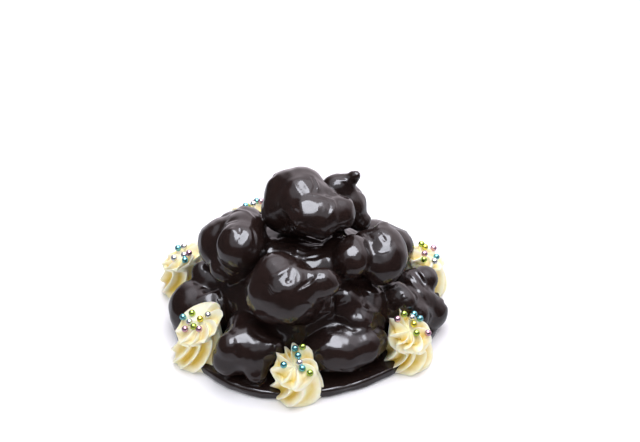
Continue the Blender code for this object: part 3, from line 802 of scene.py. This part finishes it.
def lifted(rows, lip):
    """The outline with its lip at this height, and the turn above it as much thinner."""
    height = rows[:, 1].copy()
    above = height > LIP_HEIGHT
    share = (CROWN_HEIGHT - lip) / (CROWN_HEIGHT - LIP_HEIGHT)
    rows[:, 1] = np.where(above, lip + share * (height - LIP_HEIGHT), height * lip / LIP_HEIGHT)
    rows[above, 2] *= share
    return rows


def rosette_points(index):
    """Rings of points from the foot to the eye, in the rosette's own frame, and the painted shade of their
    hollows.
    """
    first, tall, lip, lean, swirl, widths = ROSETTES[index]
    fins = len(widths)
    ends = np.cumsum((0.0, *widths)) / sum(widths)
    rows = np.array(ROSETTE_OUTLINE)
    rows[LIP_ROW:, 3] *= swirl
    rows = lifted(rows, lip)
    rows = smooth_rows(rows, FIN_RINGS)
    draw = random.Random(UNEVEN_SEED + index)
    longer, droop, deeper, swing = (
        np.array([draw.uniform(low, high) for _ in range(fins)]) for low, high in UNEVEN
    )
    share = np.tile(np.arange(FIN_SIDES) / FIN_SIDES, fins)
    fin = np.repeat(np.arange(fins), FIN_SIDES)
    turn = ends[fin] + np.diff(ends)[fin] * share
    valley = valley_shape(share)
    narrowness = (WIDEST_FIN - np.array(widths)) / (WIDEST_FIN - WIDE_FIN)
    deeper *= np.clip(narrowness, SHALLOWEST, 1.0)

    def between(values):
        """A value for each crest, blended over the valley to the next crest."""
        mix = share * share * (3.0 - 2.0 * share)
        return values[fin] * (1.0 - mix) + values[(fin + 1) % fins] * mix

    radius, height, depth, twist = (rows[:, k:k + 1] for k in range(4))
    slope = np.gradient(rows[:, :2], axis=0)
    slope /= np.maximum(np.linalg.norm(slope, axis=1, keepdims=True), 1e-6)
    out, up = slope[:, 1:2], -slope[:, 0:1]
    full = np.clip((radius - EYE_RADIUS) / (FULL_RADIUS - EYE_RADIUS), 0.0, 1.0)
    low = np.clip(height / FOOT_HEIGHT, 0.0, 1.0)
    moved = full * between(longer) - depth * valley * deeper[fin]
    hang = np.exp(-(((height - lip) / LIP_REACH) ** 2)) * between(droop)
    ring_radius = np.maximum(radius + moved * out, 0.0)
    ring_height = tall * np.maximum(height + low * (moved * up + hang), 0.0)
    angle = 2.0 * math.pi * turn + np.radians(first + twist + between(swing) * full)
    outward = ring_radius * np.cos(angle)
    along = ring_radius * np.sin(angle)
    ring_height = ring_height - ROSETTE_TILT * outward * (ring_height / ROSETTE_TOP) ** 2
    rise = ring_height / ROSETTE_TOP
    outward = outward + (ROSETTE_LEAN * ROSETTE_TOP + lean[0]) * rise
    points = np.stack([outward, along + lean[1] * rise, ring_height], axis=-1)
    # Painted shade: the deeper a valley, the darker and more golden its cream is painted
    hollow_shade = np.clip(depth * valley * deeper[fin] / HOLLOW_SHADE_DEPTH, 0.0, 1.0)
    return points, hollow_shade


def add_rosette(index, material):
    points, hollow_shade = rosette_points(index)
    rings, sides = points.shape[:2]
    flat = points[:-1].reshape(-1, 3)
    eye = points[-1].mean(axis=0)
    corners = np.concatenate([flat, eye[None]])
    foot, outward, along = rosette_frame(index)
    world = foot + corners[:, :1] * outward + corners[:, 1:2] * along
    world[:, 2] += corners[:, 2]
    faces = [list(reversed(range(sides)))]
    for ring in range(rings - 2):
        for side in range(sides):
            here = ring * sides + side
            right = ring * sides + (side + 1) % sides
            faces.append([here, right, right + sides, here + sides])
    last = (rings - 2) * sides
    faces += [[last + side, last + (side + 1) % sides, len(world) - 1] for side in range(sides)]
    mesh = bpy.data.meshes.new(f"rosette_{index}_cream")
    mesh.from_pydata((world * MM).tolist(), [], faces)
    mesh.shade_smooth()
    # Painted shade of the hollows, kept on the mesh for the cream's colour
    shade = mesh.attributes.new("hollow_shade", "FLOAT", "POINT")
    levels = np.concatenate([hollow_shade[:-1].ravel(), [EYE_HOLLOW_SHADE]])
    shade.data.foreach_set("value", levels.astype(np.float32))
    mesh.materials.append(material)
    piece = bpy.data.objects.new(f"rosette_{index}_cream", mesh)
    bpy.context.scene.collection.objects.link(piece)
    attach(piece, "root")
    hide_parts(f"rosette_{index}")
    return piece


# Pearls


def pearl_places(rosettes):
    """The middle of every pearl, by colour, each resting in the cream of its rosette."""
    places = {colour: [] for colour in PEARL_COLOURS}
    start = Vector(CAMERA_AT) * MM
    rise = (PEARL_RADIUS - PEARL_SUNK) * MM
    for index, cream in enumerate(rosettes):
        tree = BVHTree.FromPolygons(
            [vertex.co for vertex in cream.data.vertices],
            [face.vertices[:] for face in cream.data.polygons],
        )
        for *pixel, colour in SEEN_PEARLS.get(index, ()):
            ray = Vector(pixel_rays([pixel])[0])
            place = start + RAY_START * MM * ray
            best, least = place, math.inf
            for _ in range(RAY_STEPS):
                free = tree.find_nearest(place)[3] - rise
                if free < least - PEARL_CLOSER * MM:
                    best, least = place, free
                elif least < PEARL_RADIUS * MM:
                    break
                place = place + PEARL_RAY_SHARE * free * ray
            places[colour].append(settled(best, tree, rise))
        foot, outward, along = rosette_frame(index)
        for out, side, colour in OTHER_PEARLS.get(index, ()):
            spot = foot + out * outward + side * along
            above = Vector((spot[0], spot[1], PEARL_ABOVE)) * MM
            hit = tree.ray_cast(above, Vector((0.0, 0.0, -1.0)))[0]
            places[colour].append(settled(hit + Vector((0.0, 0.0, rise)), tree, rise))
    return places


def settled(place, tree, rise):
    """The place moved until it is this far from the cream."""
    for _ in range(PEARL_TURNS):
        nearest, _, _, distance = tree.find_nearest(place)
        place = place + (rise - distance) * (place - nearest).normalized()
    return place


def add_pearls(colour, places):
    shape = bmesh.new()
    for place in places:
        ball = bmesh.ops.create_icosphere(
            shape, subdivisions=PEARL_LEVEL, radius=PEARL_RADIUS * MM
        )
        bmesh.ops.translate(shape, vec=place, verts=ball["verts"])
    mesh = bpy.data.meshes.new(f"pearls_{colour}")
    shape.to_mesh(mesh)
    shape.free()
    mesh.shade_smooth()
    mesh.materials.append(pearl_material(colour))
    piece = bpy.data.objects.new(f"pearls_{colour}", mesh)
    bpy.context.scene.collection.objects.link(piece)
    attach(piece, "root")


# Materials


class Nodes:
    """A material's nodes, made and joined in one line each."""

    def __init__(self, name):
        self.material = bpy.data.materials.new(name)
        self.material.use_nodes = True
        self.tree = self.material.node_tree
        self.shader = self.tree.nodes["Principled BSDF"]

    def add(self, kind, inputs=(), **settings):
        node = self.tree.nodes.new(kind)
        for key, value in settings.items():
            setattr(node, key, value)
        for key, value in dict(inputs).items():
            self.put(node.inputs[key], value)
        return node

    def put(self, socket, value):
        if isinstance(value, bpy.types.NodeSocket):
            self.tree.links.new(value, socket)
        else:
            socket.default_value = value

    def shade(self, **values):
        for key, value in values.items():
            self.put(self.shader.inputs[key.replace("_", " ")], value)

    def noise(self, size, detail):
        """Noise whose blobs are about this many millimetres across."""
        where = self.add("ShaderNodeTexCoord").outputs["Object"]
        return self.add("ShaderNodeTexNoise", {
            "Vector": where, "Scale": 1.0 / (size * MM), "Detail": detail,
        }).outputs["Fac"]

    def spread(self, value, low, high, start=0.0, end=1.0):
        """The value stretched from one range to another."""
        return self.add("ShaderNodeMapRange", {
            "Value": value, "From Min": low, "From Max": high, "To Min": start, "To Max": end,
        }).outputs["Result"]

    def mix(self, share, first, second):
        """One colour going over to another."""
        node = self.add("ShaderNodeMix", data_type="RGBA")
        self.put(node.inputs["Factor"], share)
        for socket, value in zip((s for s in node.inputs if s.type == "RGBA"), (first, second)):
            self.put(socket, (*value, 1.0))
        return next(s for s in node.outputs if s.type == "RGBA")

    def bump(self, height, distance, strength):
        """A normal for relief this many millimetres high."""
        inputs = {"Height": height, "Distance": distance * MM, "Strength": strength}
        return self.add("ShaderNodeBump", inputs).outputs["Normal"]


def glaze_material():
    nodes = Nodes("chocolate_glaze")
    cloudy = nodes.spread(nodes.noise(14.0, 3.0), 0.35, 0.65)
    colour = nodes.mix(cloudy, *GLAZE_COLOURS)
    dull = nodes.spread(nodes.noise(9.0, 3.0), 0.35, 0.7, *GLAZE_ROUGHNESS)
    skin = nodes.bump(nodes.noise(3.4, 1.0), 0.03, 0.25)
    nodes.shade(Base_Color=colour, Roughness=dull, IOR=1.52, Normal=skin)
    return nodes.material


def cream_material():
    nodes = Nodes("buttercream")
    # The hollows are painted darker and more golden as painted shade, with some random unevenness
    hollow_shading = nodes.add("ShaderNodeAttribute", attribute_name="hollow_shade").outputs["Fac"]
    uneven = nodes.spread(nodes.noise(5.0, 3.0), 0.3, 0.7, -0.12, 0.12)
    share = nodes.add("ShaderNodeMath", {0: hollow_shading, 1: uneven}, operation="ADD").outputs[0]
    colour = nodes.mix(nodes.spread(share, 0.08, 0.85), *CREAM_COLOURS)
    grain = nodes.bump(nodes.noise(0.5, 3.0), 0.05, 0.35)
    nodes.shade(
        Base_Color=colour, Roughness=0.42, IOR=1.46, Normal=grain,
        Subsurface_Weight=0.35, Subsurface_Radius=CREAM_SOFTNESS, Subsurface_Scale=CREAM_DEPTH,
    )
    return nodes.material


def pearl_material(colour):
    nodes = Nodes(f"pearl_{colour}")
    shade = PEARL_COLOURS[colour]
    worn = nodes.spread(nodes.noise(0.9, 3.0), 0.3, 0.7)
    paler = tuple(0.925 * part + 0.075 for part in shade)
    nodes.shade(
        Base_Color=nodes.mix(worn, shade, paler),
        Metallic=0.92, Roughness=nodes.spread(worn, 0.0, 1.0, 0.16, 0.26),
        Normal=nodes.bump(nodes.noise(0.35, 2.0), 0.01, 0.4),
    )
    return nodes.material


# Surroundings


def ground(name, half, height, **shade):
    """A level square of the stage, this many metres from its middle to its sides."""
    mesh = bpy.data.meshes.new(name)
    corners = [(x * half, y * half, height) for x, y in ((-1, -1), (1, -1), (1, 1), (-1, 1))]
    mesh.from_pydata(corners, [], [[0, 1, 2, 3]])
    nodes = Nodes(name)
    nodes.shade(**shade)
    mesh.materials.append(nodes.material)
    square = bpy.data.objects.new(name, mesh)
    bpy.context.scene.collection.objects.link(square)
    return square


def add_floor():
    """A pale floor, of which the glaze mirrors only a sheet round the cake."""
    floor = ground("floor", FLOOR_HALF, 0.0, Base_Color=(*FLOOR_COLOUR, 1.0), Roughness=0.6)
    floor.visible_glossy = False
    sheet = ground(
        "sheet", SHEET_HALF, SHEET_HEIGHT, Base_Color=(0.0, 0.0, 0.0, 1.0), Roughness=1.0,
        Emission_Color=(*SHEET_COLOUR, 1.0), Emission_Strength=SHEET_LEVEL,
    )
    sheet.visible_camera = sheet.visible_diffuse = sheet.visible_shadow = False


def add_lights():
    """Rectangles of light that face the cake, each as bright as its radiance from all sides."""
    for name, (place, width, depth, radiance, kind) in LIGHTS.items():
        data = bpy.data.lights.new(name, "AREA")
        data.shape = "RECTANGLE"
        data.size = width
        data.size_y = depth
        data.energy = radiance * math.pi * width * depth
        data.color = LIGHT_COLOURS[kind]
        light = bpy.data.objects.new(name, data)
        light.location = place
        light.rotation_mode = "QUATERNION"
        light.rotation_quaternion = (Vector(place) - Vector(CAKE_MIDDLE)).to_track_quat("Z", "Y")
        light.visible_glossy = kind == "mirrored"
        light.visible_diffuse = kind == "shines"
        bpy.context.scene.collection.objects.link(light)


def add_world():
    """A pale backdrop behind the cake that sweeps overhead, in a dark room."""
    world = bpy.data.worlds.new("studio")
    world.use_nodes = True
    tree = world.node_tree
    glow = tree.nodes["Background"]
    where = tree.nodes.new("ShaderNodeTexCoord")
    split = tree.nodes.new("ShaderNodeSeparateXYZ")
    tree.links.new(where.outputs["Generated"], split.inputs[0])

    def ramp(socket, low, high):
        node = tree.nodes.new("ShaderNodeMapRange")
        node.interpolation_type = "SMOOTHSTEP"
        node.inputs["From Min"].default_value = low
        node.inputs["From Max"].default_value = high
        tree.links.new(socket, node.inputs["Value"])
        return node.outputs["Result"]

    def math_node(operation, *values):
        node = tree.nodes.new("ShaderNodeMath")
        node.operation = operation
        for socket, value in zip(node.inputs, values):
            if isinstance(value, bpy.types.NodeSocket):
                tree.links.new(value, socket)
            else:
                socket.default_value = value
        return node.outputs[0]

    aside = math_node("ABSOLUTE", math_node("SUBTRACT", split.outputs["X"], BACKDROP_CENTRE))
    behind = ramp(split.outputs["Y"], *BACKDROP_BEHIND)
    between = ramp(aside, *BACKDROP_ASIDE)
    backdrop = math_node("MULTIPLY", behind, between)
    level = tree.nodes.new("ShaderNodeMapRange")
    level.inputs["To Min"].default_value = ROOM_LEVEL
    level.inputs["To Max"].default_value = BACKDROP_LEVEL
    tree.links.new(backdrop, level.inputs["Value"])
    tree.links.new(level.outputs["Result"], glow.inputs["Strength"])
    glow.inputs["Color"].default_value = (*BACKDROP_COLOUR, 1.0)
    bpy.context.scene.world = world
    bpy.context.scene.view_settings.view_transform = "Standard"


def main():
    add_camera()
    add_floor()
    add_lights()
    add_world()
    glaze = Glaze()
    chocolate = glaze_material()
    for name in glaze.fields:
        glazed_piece(glaze, name, chocolate)
    cream = cream_material()
    rosettes = [add_rosette(index, cream) for index in range(ROSETTE_COUNT)]
    for colour, places in pearl_places(rosettes).items():
        add_pearls(colour, places)


main()
